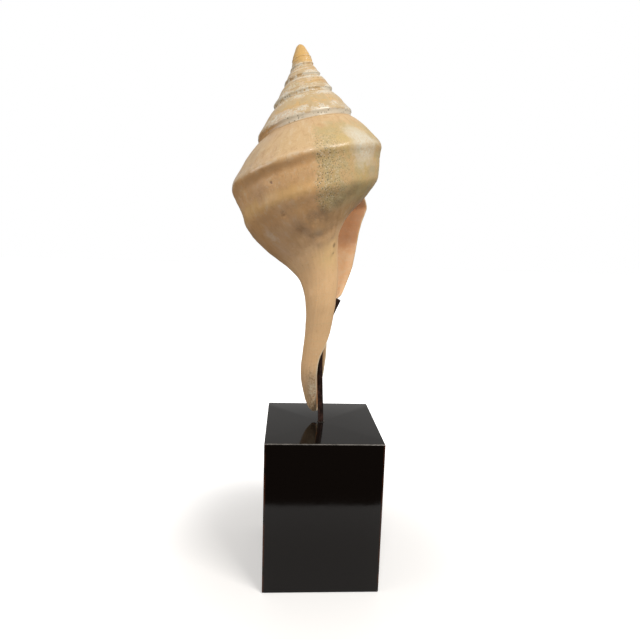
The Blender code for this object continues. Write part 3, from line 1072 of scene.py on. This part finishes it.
    def old_growth(self, at: ShellPaint) -> None:
        """Lay the olive and grey staining and the specks of the part right of the old growth edge, and
        painted shade below its second ridge.
        """
        ragged = at.uneven_turns + (at.mottle - 0.5) * 0.03 + (at.fine - 0.5) * 0.04
        edge = at.step(ragged, self.old_growth_turn + 0.006, self.old_growth_turn - 0.012)
        part = edge * at.step(at.turns, -0.12, 0.0) * at.window(at.uneven_level, 1.2, 8.6, 1.0)
        at.lay(self.olive, 0.62, part)
        at.lay(self.grey, 0.4, at.step(at.mottle, 0.46, 0.62), part)
        at.lay(self.moss, 0.4, at.step(at.cloud + at.mottle, 0.9, 1.1), part)
        dense = at.step(at.uneven_turns, 0.17, 0.255) * at.step(at.level, 1.4, 3.2) * part
        dark = at.step(at.cells(at.where, 0.62) + at.fine * 0.3, 0.56, 0.38)
        at.lay(self.ivory, 0.6, at.step(at.cells(at.where, 0.47), 0.44, 0.2), dense)
        at.lay(self.soot, 1.0, dark, dense * 0.62 + part * 0.16)
        # painted shade below the second ridge, on the right part
        low = at.window(at.uneven_level, 7.0, 9.4, 0.8)
        at.lay(self.soot, 0.22, low, edge, at.step(at.turns, 0.05, 0.14))

    def spire(self, at: ShellPaint) -> None:
        """Lay the whitish and tan bands of the whorls above the last one, and painted shade on the strip
        under the penultimate whorl's keel.
        """
        before = at.step(at.turns, -0.10, -0.16)
        at.lay(self.tan, 0.75, before, at.step(at.turns, -0.1, -0.9))
        at.lay(self.ochre, 0.6, before, at.step(at.mottle, 0.46, 0.58))
        at.lay(self.pink, 0.75, before, at.step(at.cloud + at.mottle + at.band, 1.52, 1.72))
        early = at.step(at.turns, -0.9, -1.7)
        lines = at.step(at.band, 0.50, 0.58) * at.step(at.fine, 0.40, 0.52)
        at.lay(self.chalk, 0.75, early, lines)
        at.lay(self.umber, 0.45, early, at.step(at.band, 0.46, 0.38))
        strip = at.window(at.uneven_level, 3.05, 4.6, 0.35) * before
        last = at.step(at.turns, -1.12, -1.04)
        white = strip * at.step(at.uneven_turns, -0.60, -0.68)
        white = white * (last + (1.0 - last) * at.step(at.mottle + at.fine * 0.5, 0.66, 0.76))
        # painted shade: the strip under the penultimate whorl's keel is darkened, and stays brown where no
        # white is laid over it
        at.lay(self.umber, 0.4, strip, last)
        at.lay(self.white, 0.9, white)
        torn = at.step(at.fine + at.mottle, 0.98, 1.10) * before
        ragged = at.window(at.uneven_level, -0.4, 1.0, 0.5) + at.window(at.uneven_level, 2.3, 3.3, 0.4)
        at.lay(self.white, 0.85, torn, ragged)
        spots = at.step(at.cells(at.where, 0.42), 0.40, 0.16) * at.step(at.mottle, 0.46, 0.58)
        at.lay(self.soot, 1.0, white * 0.4 + before * 0.35, spots)
        seam = at.step(abs(at.level - 0.1), 0.16, 0.04) * at.step(at.turns, 0.85, 0.8)
        dirty = 0.3 + 0.7 * at.step(at.mottle, 0.4, 0.55)
        at.lay(self.brown, 0.5, seam, at.step(at.height, 506.0, 500.0), dirty)
        at.lay(self.ivory, 0.4, at.window(at.level, 2.85, 3.2, 0.25), at.step(at.mottle, 0.42, 0.6))

    def top(self, at: ShellPaint) -> None:
        """Lay the yellow-orange first whorl and its white chips."""
        mask = at.step(at.height + (at.fine - 0.5) * 6.0, 505.0, 510.0)
        chips = at.step(at.cells(at.where, 0.5), 0.36, 0.18)
        at.lay(self.apex, 0.9, mask)
        at.lay(self.ivory, 0.8, mask, chips, at.step(at.across, -30.0, -26.0))

    def canal(self, at: ShellPaint) -> None:
        """Lay the chalky, pitted end of the canal."""
        low = at.step(at.height + at.wobble * 0.6, 222.0, 188.0)
        near_edge = at.step(at.gap + (at.fine - 0.5) * 6.0, 15.0, 6.0)
        worn = low * (0.3 + 0.7 * near_edge)
        rough = at.fine + at.mottle * 0.5
        at.lay(self.grey, 0.45, worn)
        at.lay(self.ivory, 0.9, worn, near_edge, at.step(rough, 0.76, 0.84))
        at.lay(self.brown, 0.7, worn, near_edge, at.step(rough, 0.68, 0.60))

    def inside(self, at: ShellPaint) -> None:
        """Lay the warm inside and the pale rim of the mouth, with painted shade at the top of the mouth."""
        warm = at.mix(at.step(at.mottle, 0.35, 0.7) * 0.35, self.apricot, self.ivory)
        # painted shade: the top of the mouth darkens towards red-brown
        warm = at.mix(at.step(at.uneven_level, 8.2, 6.4) * 0.6, warm, self.deep)
        at.lay(warm, 1.0, at.step(at.shelter, 0.35, 0.75))
        at.lay(self.ivory, 0.75, at.step(at.gap + (at.fine - 0.5) * 1.2, 1.7, 0.7))

    def material(self) -> bpy.types.Material:
        """Return the shell's material."""
        at = ShellPaint("worn shell")
        for layer in (self.ground, self.bands_and_painted_shade, self.old_growth, self.spire):
            layer(at)
        broken = 0.45 + 0.55 * at.step(at.fine + at.mottle * 0.6, 0.66, 0.92)
        # patches of staining, and painted shade in dents and pits
        for stain_and_shade in self.stains_and_shade:
            wobble = at.wobble * min(stain_and_shade.reach / self.wide_stain_and_shade, 1.0)
            mask = at.near(stain_and_shade.at, stain_and_shade.reach, stain_and_shade.soft, wobble)
            at.lay(stain_and_shade.colour, stain_and_shade.strength, mask, broken)
        for layer in (self.top, self.canal, self.inside):
            layer(at)

        dull = at.step(at.uneven_turns, self.old_growth_turn + 0.01, self.old_growth_turn - 0.01)
        dull = dull * at.step(at.turns, -0.12, 0.0)
        crest = at.window(at.level, 2.6, 3.3, 0.3)
        wet = at.step(at.cells(at.where, 0.8), 0.36, 0.22) * at.step(at.mottle, 0.42, 0.5)
        wet = wet * at.window(at.level, 2.3, 3.2, 0.3)
        grain = at.noise(at.where, 1.3, 2.0, 0.6) * (0.3 + dull * 0.7)
        relief = 0.5 * at.fine + 0.25 * at.streak + 0.25 * at.thread
        return at.finish(
            Base_Color=at.colour,
            Roughness=0.36 + 0.18 * at.fine + 0.12 * dull - 0.1 * crest - 0.2 * wet,
            Specular_IOR_Level=0.35,
            Coat_Weight=0.15 - 0.1 * dull + 0.5 * crest,
            Coat_Roughness=0.16,
            Sheen_Weight=0.10,
            Sheen_Roughness=0.3,
            Normal=at.bump(grain, 0.12, at.bump(relief, 0.32)),
        )


@dataclass(frozen=True)
class BronzeFinish:
    """Dark bronze, patinated nearly black with a red-brown tinge."""

    dark: Colour = (0.024, 0.013, 0.010)
    red: Colour = (0.085, 0.038, 0.028)

    def material(self) -> bpy.types.Material:
        """Return the rod's material."""
        paint = Paint("patinated bronze")
        cloud = paint.noise(paint.where, 0.25, 4.0, 0.6)
        return paint.finish(
            Base_Color=paint.mix(paint.step(cloud, 0.4, 0.7), self.dark, self.red),
            Metallic=0.55,
            Roughness=0.3 + 0.25 * cloud,
            Normal=paint.bump(paint.noise(paint.where, 1.6, 3.0, 0.6), 0.06),
        )


@dataclass(frozen=True)
class LacquerFinish:
    """Black lacquer over wood, glossy, rubbed to red-brown along the edges, with a painted highlight line
    along the front top edge.
    """

    black: Colour = (0.0055, 0.0038, 0.003)
    rubbed: Colour = (0.10, 0.032, 0.016)
    # painted highlight along the front top edge
    painted_highlight_line: Colour = (0.42, 0.39, 0.36)
    line_width: float = 1.1
    rubbed_from: float = 2.2
    rubbed_to: float = 0.5
    half_width: float = 57.15
    half_depth: float = 63.5
    height: float = 152.4

    def material(self) -> bpy.types.Material:
        """Return the block's material."""
        paint = Paint("black lacquer")
        x, y, z = paint.parts(paint.where)
        cloud = paint.noise(paint.where, 0.12, 4.0, 0.6)
        at_side = paint.step(abs(x), self.half_width - self.rubbed_from, self.half_width - self.rubbed_to)
        at_front = paint.step(abs(y), self.half_depth - self.rubbed_from, self.half_depth - self.rubbed_to)
        worn = at_side * at_front * paint.step(cloud, 0.3, 0.6)
        # painted highlight: a pale line along the front top edge
        front = paint.step(y, self.line_width - self.half_depth, -self.half_depth)
        top = paint.step(z, self.height - self.line_width, self.height)
        line = front * top * (0.55 + 0.45 * paint.step(cloud, 0.35, 0.6))
        return paint.finish(
            Base_Color=paint.mix(line, paint.mix(worn * 0.8, self.black, self.rubbed), self.painted_highlight_line),
            Roughness=0.06 + 0.06 * cloud,
            IOR=1.27,
            Normal=paint.bump(paint.noise(paint.where, 0.05, 2.0, 0.5), 0.05),
        )


def linked(name: str, mesh: bmesh.types.BMesh, material: bpy.types.Material) -> bpy.types.Object:
    """Return a new object of the scene with a mesh, which is freed, and a material.

    The faces are sorted by their corners first, because the operators leave their order open.
    """
    mesh.verts.index_update()
    order = sorted(mesh.faces, key=lambda face: sorted(vert.index for vert in face.verts))
    rank = {face: number for number, face in enumerate(order)}
    mesh.faces.sort(key=rank.get)
    data = bpy.data.meshes.new(name)
    mesh.to_mesh(data)
    mesh.free()
    data.materials.append(material)
    result = bpy.data.objects.new(name, data)
    bpy.context.collection.objects.link(result)
    return result


def edges_of(verts: Sequence[bmesh.types.BMVert]) -> List[bmesh.types.BMEdge]:
    """Return the edges at some vertices, in the order of the vertices."""
    return list(dict.fromkeys(edge for vert in verts for edge in vert.link_edges))


def extrude(
    mesh: bmesh.types.BMesh, rim: Sequence[bmesh.types.BMEdge]
) -> Tuple[List[bmesh.types.BMEdge], List[bmesh.types.BMVert]]:
    """Extrude an open rim, in place.

    Args:
        mesh: The mesh.
        rim: The edges of its open rim.

    Returns:
        The new rim's edges and vertices.
    """
    grown = bmesh.ops.extrude_edge_only(mesh, edges=rim)["geom"]
    verts = [item for item in grown if isinstance(item, bmesh.types.BMVert)]
    edges = [item for item in grown if isinstance(item, bmesh.types.BMEdge) and item.is_boundary]
    return edges, verts


def add_piece(
    name: str, mesh: bmesh.types.BMesh, material: bpy.types.Material, node: str, sharp_from: float
) -> bpy.types.Object:
    """Make a piece of the object from a mesh, in place of one of its solids.

    Args:
        name: The piece's name.
        mesh: Its mesh, which is freed.
        material: Its finish.
        node: The solid that it replaces, which is hidden.
        sharp_from: The angle from which an edge is shaded sharp, in degrees.

    Returns:
        The piece.
    """
    piece = linked(name, mesh, material)
    piece.data.shade_smooth()
    piece.data.set_sharp_from_angle(angle=math.radians(sharp_from))
    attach(piece, BODY)
    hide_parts(node)
    LOG.info("%s: %d faces", name, len(piece.data.polygons))
    return piece


@dataclass
class Rod:
    """The bent rod, a round bar with a rounded end."""

    radius: float = 2.9
    sides: int = 32
    sink: float = 40.0
    end_round: float = 0.5
    end_steps: int = 3
    steps_per_span: int = 6
    sharp_from: float = 50.0
    route: RodRoute = field(default_factory=RodRoute)

    def line(self) -> List[Vector]:
        """Return points along the centre line, in mm, from the rod's foot to its end."""
        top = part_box("block")[1][2] / MM
        foot = Vector((self.route.foot_x, 0.0, top - self.sink))
        knots = [foot] + [Vector(point) for point in self.route.points]
        line = [knots[0], Vector((self.route.foot_x, 0.0, top)), knots[1]]
        for number in range(1, len(knots) - 1):
            before, start, end = knots[number - 1], knots[number], knots[number + 1]
            after = knots[min(number + 2, len(knots) - 1)]
            leave = (end - before) * ((end - start).length / (end - before).length)
            arrive = (after - start) * ((end - start).length / (after - start).length)
            for step in range(1, self.steps_per_span + 1):
                line.append(curve(start, end, leave, arrive, step / self.steps_per_span))
        return line

    def build(self) -> bpy.types.Object:
        """Make the rod.

        Returns:
            The finished object.
        """
        line = self.line()
        mesh = bmesh.new()
        bmesh.ops.create_circle(mesh, cap_ends=True, segments=self.sides, radius=self.radius * MM)
        bmesh.ops.translate(mesh, verts=mesh.verts, vec=line[0] * MM)
        rim = mesh.edges[:]
        heading = Vector((0.0, 0.0, 1.0))
        for number in range(1, len(line)):
            following = line[min(number + 1, len(line) - 1)]
            new_heading = (following - line[number - 1]).normalized()
            rim, verts = extrude(mesh, rim)
            turn = heading.rotation_difference(new_heading).to_matrix()
            bmesh.ops.translate(mesh, verts=verts, vec=(line[number] - line[number - 1]) * MM)
            bmesh.ops.rotate(mesh, verts=verts, cent=line[number] * MM, matrix=turn)
            heading = new_heading
        self.round_end(mesh, rim, line[-1], heading)
        bmesh.ops.recalc_face_normals(mesh, faces=mesh.faces)
        return add_piece("rod_bar", mesh, BronzeFinish().material(), "rod", self.sharp_from)

    def round_end(
        self, mesh: bmesh.types.BMesh, rim: List[bmesh.types.BMEdge], end: Vector, heading: Vector
    ) -> None:
        """Round the rod's upper end over and close it.

        Args:
            mesh: The rod's mesh.
            rim: The edges of its open end.
            end: The end of the centre line, in mm.
            heading: The way the rod points there.
        """
        bmesh.ops.translate(
            mesh,
            verts=list(dict.fromkeys(vert for edge in rim for vert in edge.verts)),
            vec=heading * (-self.end_round * MM),
        )
        width = self.radius
        for step in range(1, self.end_steps + 1):
            angle = math.pi / 2.0 * step / self.end_steps
            rim, verts = extrude(mesh, rim)
            new_width = self.radius - self.end_round * (1.0 - math.cos(angle))
            rise = math.sin(angle) - math.sin(math.pi / 2.0 * (step - 1) / self.end_steps)
            bmesh.ops.translate(mesh, verts=verts, vec=heading * (self.end_round * rise * MM))
            space = Matrix.Translation(-end * MM)
            bmesh.ops.scale(mesh, verts=verts, vec=(new_width / width,) * 3, space=space)
            width = new_width
        bmesh.ops.contextual_create(mesh, geom=rim)


@dataclass
class Block:
    """The lacquered block, with rolled edges and the rod's hole.

    An edge is rolled if it bends by least_bend, in radians, or more, and lies further out than
    clear_of_hole times the hole's radius.
    """

    edge_round: float = 1.2
    edge_steps: int = 5
    hole_gap: float = 0.3
    hole_depth: float = 40.3
    hole_sides: int = 32
    least_bend: float = 1.0
    clear_of_hole: float = 2.0
    sharp_from: float = 50.0

    def build(self) -> bpy.types.Object:
        """Make the block.

        Returns:
            The finished object.
        """
        low, high = (Vector(corner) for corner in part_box("block"))
        size = high - low
        mesh = bmesh.new()
        radius = (Rod().radius + self.hole_gap) * MM
        hole = bmesh.ops.create_circle(mesh, segments=self.hole_sides, radius=radius)["verts"]
        bmesh.ops.translate(mesh, verts=hole, vec=(RodRoute().foot_x * MM, 0.0, 0.0))
        hole_rim = edges_of(hole)
        side = math.sqrt(0.5)
        square = bmesh.ops.create_circle(mesh, segments=4, radius=1.0)["verts"]
        bmesh.ops.rotate(mesh, verts=square, matrix=Matrix.Rotation(math.pi / 4.0, 3, "Z"))
        bmesh.ops.scale(mesh, verts=square, vec=(size.x / 2.0 / side, size.y / 2.0 / side, 1.0))
        cut = bmesh.ops.subdivide_edges(mesh, edges=edges_of(square), cuts=self.hole_sides // 4 - 1)
        outline = [item for item in cut["geom"] if isinstance(item, bmesh.types.BMEdge)]
        bmesh.ops.bridge_loops(mesh, edges=hole_rim + outline)
        bmesh.ops.translate(mesh, verts=mesh.verts, vec=(0.0, 0.0, high.z))
        rims = [edge for edge in mesh.edges if edge.is_boundary]
        clear = radius * self.clear_of_hole
        outline = [edge for edge in rims if edge.verts[0].co.xy.length > clear]
        inner = [edge for edge in rims if edge not in outline]
        for rim, depth in ((inner, self.hole_depth * MM), (outline, size.z)):
            rim, verts = extrude(mesh, rim)
            bmesh.ops.translate(mesh, verts=verts, vec=(0.0, 0.0, -depth))
            bmesh.ops.contextual_create(mesh, geom=rim)
        bmesh.ops.recalc_face_normals(mesh, faces=mesh.faces)
        sharp = [edge for edge in mesh.edges if edge.calc_face_angle(0.0) > self.least_bend]
        outer = [edge for edge in sharp if edge.verts[0].co.xy.length > clear]
        bmesh.ops.bevel(
            mesh,
            geom=outer,
            offset=self.edge_round * MM,
            segments=self.edge_steps,
            profile=0.5,
            affect="EDGES",
            material=-1,
            clamp_overlap=True,
        )
        finish = LacquerFinish(
            half_width=size.x / 2.0 / MM, half_depth=size.y / 2.0 / MM, height=high.z / MM
        )
        return add_piece("block_body", mesh, finish.material(), "block", self.sharp_from)


@dataclass
class GlueRing:
    """The thin ring of glue round the rod's foot."""

    inner_radius: float = 2.95
    outer_radius: float = 4.1
    height: float = 0.5
    lift: float = 0.02
    dark: Colour = (0.05, 0.042, 0.036)
    pale: Colour = (0.12, 0.10, 0.085)
    steps: int = 6
    sides: int = 48
    sharp_from: float = 80.0

    def build(self) -> bpy.types.Object:
        """Make the ring.

        Returns:
            The finished object.
        """
        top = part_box("block")[1][2]
        mesh = bmesh.new()
        middle = (self.inner_radius + self.outer_radius) / 2.0
        half = (self.outer_radius - self.inner_radius) / 2.0
        profile = bmesh.ops.create_circle(mesh, segments=self.steps * 2, radius=1.0)["verts"]
        bmesh.ops.scale(mesh, verts=profile, vec=(half * MM, self.height / 2.0 * MM, 1.0))
        bmesh.ops.rotate(mesh, verts=profile, matrix=Matrix.Rotation(math.pi / 2.0, 3, "X"))
        up = top + (self.height / 2.0 + self.lift) * MM
        across = (middle + RodRoute().foot_x) * MM
        bmesh.ops.translate(mesh, verts=profile, vec=(across, 0.0, up))
        bmesh.ops.spin(
            mesh,
            geom=mesh.edges[:],
            cent=(RodRoute().foot_x * MM, 0.0, 0.0),
            axis=(0.0, 0.0, 1.0),
            dvec=(0.0, 0.0, 0.0),
            angle=math.tau,
            steps=self.sides,
            use_merge=True,
            use_duplicate=False,
        )
        bmesh.ops.recalc_face_normals(mesh, faces=mesh.faces)
        finish = BronzeFinish(dark=self.dark, red=self.pale)
        return add_piece("foot_ring", mesh, finish.material(), "rod", self.sharp_from)


class Rays(Enum):
    """Which rays see a part of the floor."""

    ALL = "all"
    NOT_GLOSS = "all but reflections"


@dataclass(frozen=True)
class Light:
    """A square soft light, with its place and side in metres and its power in watts."""

    name: str
    at: Point
    size: float
    power: float
    colour: Colour


@dataclass
class Studio:
    """The pale floor, the soft lights, the white surroundings and the camera."""

    camera_at: Point = (-39.53, -539.07, 342.53)
    pitch: float = 8.668
    yaw: float = 3.692
    roll: float = 1.845
    lens: float = 30.10
    sensor: float = 36.0
    table_reach: float = 0.25
    floor_reach: float = 6.0
    floor_colour: Colour = (0.86, 0.85, 0.84)
    floor_glow: float = 0.4
    far_floor_glow: float = 1.0
    glow_change_at: float = 230.0
    glow_change_over: float = 260.0
    diffuse_levels: Tuple[float, float, float] = (0.22, 0.40, 0.34)
    gloss_levels: Tuple[float, float, float] = (0.015, 0.45, 0.95)
    level_stops: Tuple[float, ...] = (0.0, 0.495, 0.505, 0.68, 0.85)
    level_tint: Colour = (1.0, 0.985, 0.96)
    clip_end: float = 20.0
    lights: Tuple[Light, ...] = (
        Light("key", (0.9, -1.1, 1.4), 0.9, 23.0, (1.0, 0.97, 0.93)),
        Light("glint", (-0.25, -1.2, 1.5), 0.12, 2.5, (1.0, 1.0, 1.0)),
        Light("fill", (-1.7, -0.5, 0.35), 1.0, 9.0, (1.0, 0.93, 0.86)),
    )
    lights_aim: Point = (0.0, 0.0, 0.3)

    def camera(self) -> None:
        """Make the camera at the photograph's viewpoint."""
        data = bpy.data.cameras.new("camera")
        data.lens = self.lens
        data.sensor_width = self.sensor
        data.clip_end = self.clip_end
        result = bpy.data.objects.new("camera", data)
        bpy.context.collection.objects.link(result)
        pitch, yaw = math.radians(self.pitch), math.radians(self.yaw)
        look = Vector((
            math.sin(yaw) * math.cos(pitch),
            math.cos(yaw) * math.cos(pitch),
            -math.sin(pitch),
        ))
        level = look.to_track_quat("-Z", "Y")
        result.rotation_mode = "QUATERNION"
        result.rotation_quaternion = Quaternion(look, math.radians(-self.roll)) @ level
        result.location = Vector(self.camera_at) * MM
        bpy.context.scene.camera = result

    def floor(self) -> None:
        """Make the floor: a table top round the block, and the floor beyond it."""
        paint = Paint("pale floor")
        close = paint.near((0.0, 0.0, 0.0), self.glow_change_at, self.glow_change_over)
        glow = paint.mix(
            close, (self.far_floor_glow,) * 3, tuple(self.floor_glow * part for part in self.floor_colour)
        )
        material = paint.finish(
            Base_Color=self.floor_colour, Roughness=0.6, Emission_Color=glow, Emission_Strength=1.0
        )
        near, far = self.table_reach, self.floor_reach
        mesh = bmesh.new()
        bmesh.ops.create_grid(mesh, x_segments=1, y_segments=1, size=near)
        self.stage_piece("floor_near", mesh, material, Rays.ALL)
        mesh = bmesh.new()
        inner = bmesh.ops.create_circle(mesh, segments=4, radius=near * math.sqrt(2.0))["verts"]
        outer = bmesh.ops.create_circle(mesh, segments=4, radius=far * math.sqrt(2.0))["verts"]
        bmesh.ops.bridge_loops(mesh, edges=edges_of(inner + outer))
        bmesh.ops.rotate(mesh, verts=mesh.verts, matrix=Matrix.Rotation(math.pi / 4.0, 3, "Z"))
        bmesh.ops.recalc_face_normals(mesh, faces=mesh.faces)
        self.stage_piece("floor_far", mesh, material, Rays.NOT_GLOSS)

    def stage_piece(
        self, name: str, mesh: bmesh.types.BMesh, material: bpy.types.Material, rays: Rays
    ) -> None:
        """Make a piece of the floor.

        Args:
            name: Its name.
            mesh: Its mesh, which is freed.
            material: Its finish.
            rays: Which rays see it.
        """
        piece = linked(name, mesh, material)
        piece.visible_glossy = rays is Rays.ALL
        piece.visible_diffuse = False

    def surroundings(self) -> None:
        """Make the world: white to the camera, softly graded as light and in reflections."""
        world = bpy.data.worlds.new("white room")
        bpy.context.scene.world = world
        room = Nodes(world)
        seen, end = (room.tree.nodes[name] for name in ("Background", "World Output"))
        room.join(seen.inputs["Color"], (1.0, 1.0, 1.0))
        lit = self.graded_light(room, self.diffuse_levels)
        mirrored = self.graded_light(room, self.gloss_levels)
        in_gloss = room.node("ShaderNodeLightPath", output="Is Glossy Ray")
        in_camera = room.node("ShaderNodeLightPath", output="Is Camera Ray")
        unseen = room.node("ShaderNodeMixShader", {}, {0: in_gloss, 1: lit, 2: mirrored})
        shown = Wire(room, seen.outputs[0])
        final = room.node("ShaderNodeMixShader", {}, {0: in_camera, 1: unseen, 2: shown})
        room.join(end.inputs["Surface"], final)

    def graded_light(self, room: Nodes, levels: Tuple[float, float, float]) -> Wire:
        """Add a background that changes from the ground to the horizon and to straight up.

        Args:
            room: The world's nodes.
            levels: The brightness below the horizon, round it and overhead.

        Returns:
            The background.
        """
        ground, horizon, zenith = levels
        up = room.parts(room.node("ShaderNodeTexCoord", output="Generated"))[2]
        place = room.node("ShaderNodeMath", {"operation": "MULTIPLY_ADD"}, {0: up, 1: 0.5, 2: 0.5})
        grade = room.node("ShaderNodeValToRGB", {}, {0: place})
        stops = grade.socket.node.color_ramp.elements
        for position in self.level_stops[2:]:
            stops.new(position)
        brightness = (ground, ground, horizon, horizon, zenith)
        for stop, position, light in zip(stops, self.level_stops, brightness):
            stop.position = position
            stop.color = (*(light * part for part in self.level_tint), 1.0)
        return room.node("ShaderNodeBackground", {}, {"Color": grade})

    def lamp(self, light: Light) -> None:
        """Make one of the lights, turned to the shell.

        Args:
            light: Which one.
        """
        data = bpy.data.lights.new(light.name, "AREA")
        data.size = light.size
        data.energy = light.power
        data.color = light.colour
        result = bpy.data.objects.new(light.name, data)
        bpy.context.collection.objects.link(result)
        result.location = light.at
        aim = Vector(self.lights_aim) - result.location
        result.rotation_euler = aim.to_track_quat("-Z", "Y").to_euler()

    def build(self) -> None:
        """Set the stage."""
        self.camera()
        self.floor()
        self.surroundings()
        for light in self.lights:
            self.lamp(light)
        bpy.context.scene.view_settings.view_transform = "Standard"


def main() -> None:
    """Build the pieces and the studio in order."""
    logging.basicConfig(level=logging.INFO, format="%(name)s: %(message)s")
    Studio().build()
    TrumpetShell().build()
    Rod().build()
    GlueRing().build()
    Block().build()


if __name__ == "__main__":
    main()
